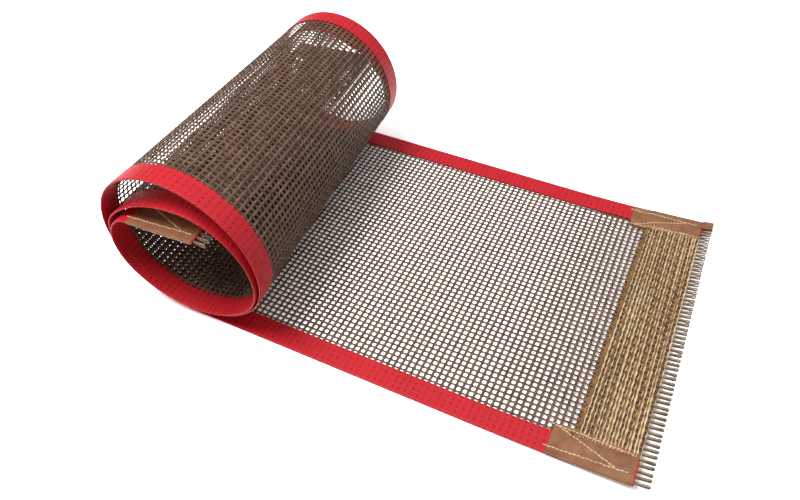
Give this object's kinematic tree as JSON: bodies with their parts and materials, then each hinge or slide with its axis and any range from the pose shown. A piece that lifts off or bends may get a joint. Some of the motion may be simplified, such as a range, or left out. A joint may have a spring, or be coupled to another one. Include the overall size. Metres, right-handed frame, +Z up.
{
  "type": "open mesh conveyor belt",
  "caption": "Open-mesh coated-fabric conveyor belt, partly rolled up, with taped edges, sewn folded joint ends, corner covers and a row of hairpin loops for a joining pin at each end.",
  "frame": {"origin": "centre of the whole belt's footprint on the floor it rests on", "axes": "+X along the belt towards its free outer end, +Y across its width towards the far edge, +Z up from the floor"},
  "size_m": [0.4818, 0.3012, 0.1491],
  "materials": {
    "mesh": "brown PTFE-coated glass-fibre open mesh, satin",
    "edge_tape": "red coated glass-cloth tape, smooth satin",
    "joint_cover": "tan-brown PTFE-coated glass cloth, satin, cream stitching"
  },
  "bodies": {
    "root": {"mesh_belt": "mesh", "edge_tape_near": "edge_tape", "edge_tape_far": "edge_tape", "joint_cover_outer_near": "joint_cover", "joint_cover_outer_far": "joint_cover", "joint_cover_inner_near": "joint_cover", "joint_cover_inner_far": "joint_cover"}
  },
  "joints": []
}
